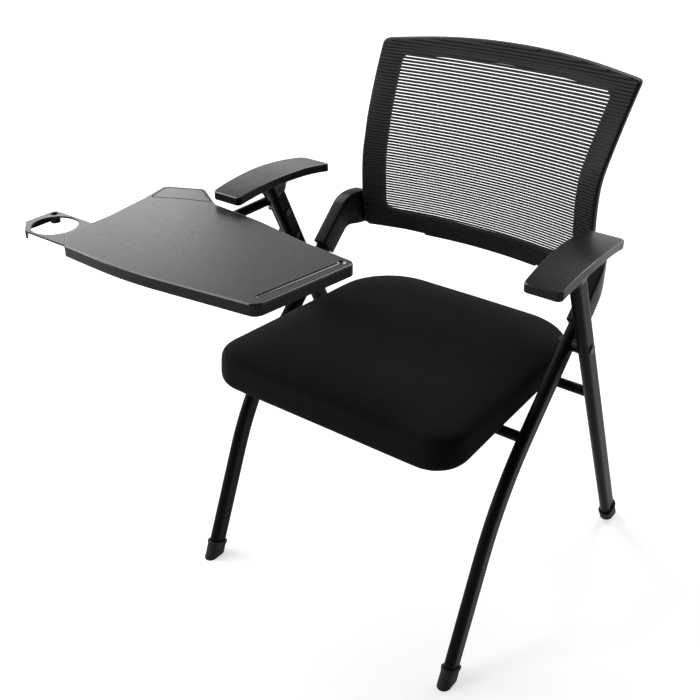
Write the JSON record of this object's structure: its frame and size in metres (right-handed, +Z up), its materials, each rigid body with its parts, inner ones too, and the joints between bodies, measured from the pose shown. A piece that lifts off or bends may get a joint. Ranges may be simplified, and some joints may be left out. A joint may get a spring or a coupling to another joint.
{
  "type": "tablet arm chair",
  "caption": "Folding training chair with a mesh back, padded seat, flat oval steel legs, arm pads and a flip-up writing tablet with a pull-out cup ring.",
  "frame": {"origin": "on the floor, in the seat's plane of symmetry, between the front and rear feet", "axes": "+Z up, +X to the sitter's left, the chair faces -Y and the tablet is on the -X side"},
  "size_m": [0.7982, 0.6872, 0.841],
  "materials": {
    "frame_steel": "satin black powder coat",
    "frame_plastic": "fine grained black moulding",
    "tablet_plastic": "satin black moulding",
    "mesh_fabric": "stretched black mesh",
    "seat_fabric": "black upholstery cloth over foam",
    "rubber_feet": "matt black",
    "hardware": "black oxide"
  },
  "bodies": {
    "front_frame": {"front_leg_left": "frame_steel", "front_leg_right": "frame_steel", "front_crossbar": "frame_steel", "front_foot_left": "rubber_feet", "front_foot_right": "rubber_feet", "back_bracket_left": "frame_plastic", "back_bracket_right": "frame_plastic", "back_frame": "frame_plastic", "back_mesh": "mesh_fabric", "bracket_screws_left": "hardware", "bracket_screws_right": "hardware", "clamp_screws_left": "hardware", "clamp_screws_right": "hardware", "pivot_bolt_left": "hardware", "pivot_bolt_right": "hardware", "pivot_bush_left": "frame_plastic", "pivot_bush_right": "frame_plastic", "pivot_nut_left": "hardware", "pivot_nut_right": "hardware"},
    "rear_frame": {"rear_leg_left": "frame_steel", "rear_leg_right": "frame_steel", "rear_crossbar": "frame_steel", "rear_foot_left": "rubber_feet", "rear_foot_right": "rubber_feet", "arm_pad_left": "frame_plastic", "arm_pad_right": "frame_plastic", "arm_screw_left": "hardware", "arm_screw_right": "hardware", "tablet_arm": "frame_steel", "tablet_arm_bolts": "hardware", "tablet_arm_nuts": "hardware", "tablet_arm_plug": "rubber_feet"},
    "seat": {"seat_pan": "frame_plastic", "seat_cushion": "seat_fabric", "seat_hinge_left": "frame_plastic", "seat_hinge_right": "frame_plastic", "seat_saddle_left": "frame_plastic", "seat_saddle_right": "frame_plastic", "seat_screws_left": "hardware", "seat_screws_right": "hardware"},
    "tablet": {"tablet_top": "tablet_plastic", "tablet_base": "tablet_plastic", "tablet_block_front": "tablet_plastic", "tablet_block_rear": "tablet_plastic", "tablet_screws": "hardware"},
    "cup_holder": {"cup_ring": "tablet_plastic"}
  },
  "joints": [
    {"name": "frame_fold", "type": "hinge", "parent": "front_frame", "child": "rear_frame", "pos_m": [0, 0.03748, 0.46547], "axis": [-1, 0, 0], "range_deg": [0, 48]},
    {"name": "seat_flip", "type": "hinge", "parent": "rear_frame", "child": "seat", "pos_m": [0, 0.08923, 0.35697], "axis": [-1, 0, 0], "range_deg": [0, 30]},
    {"name": "tablet_flip", "type": "hinge", "parent": "rear_frame", "child": "tablet", "pos_m": [-0.2928, -0.3, 0.59119], "axis": [0, -1, 0], "range_deg": [0, 105]},
    {"name": "cup_slide", "type": "slide", "parent": "tablet", "child": "cup_holder", "axis": [1, 0, 0], "range_m": [0, 0.092]}
  ],
  "couplings": [
    {"joint": "seat_flip", "follows": "frame_fold", "ratio": 0.6}
  ]
}
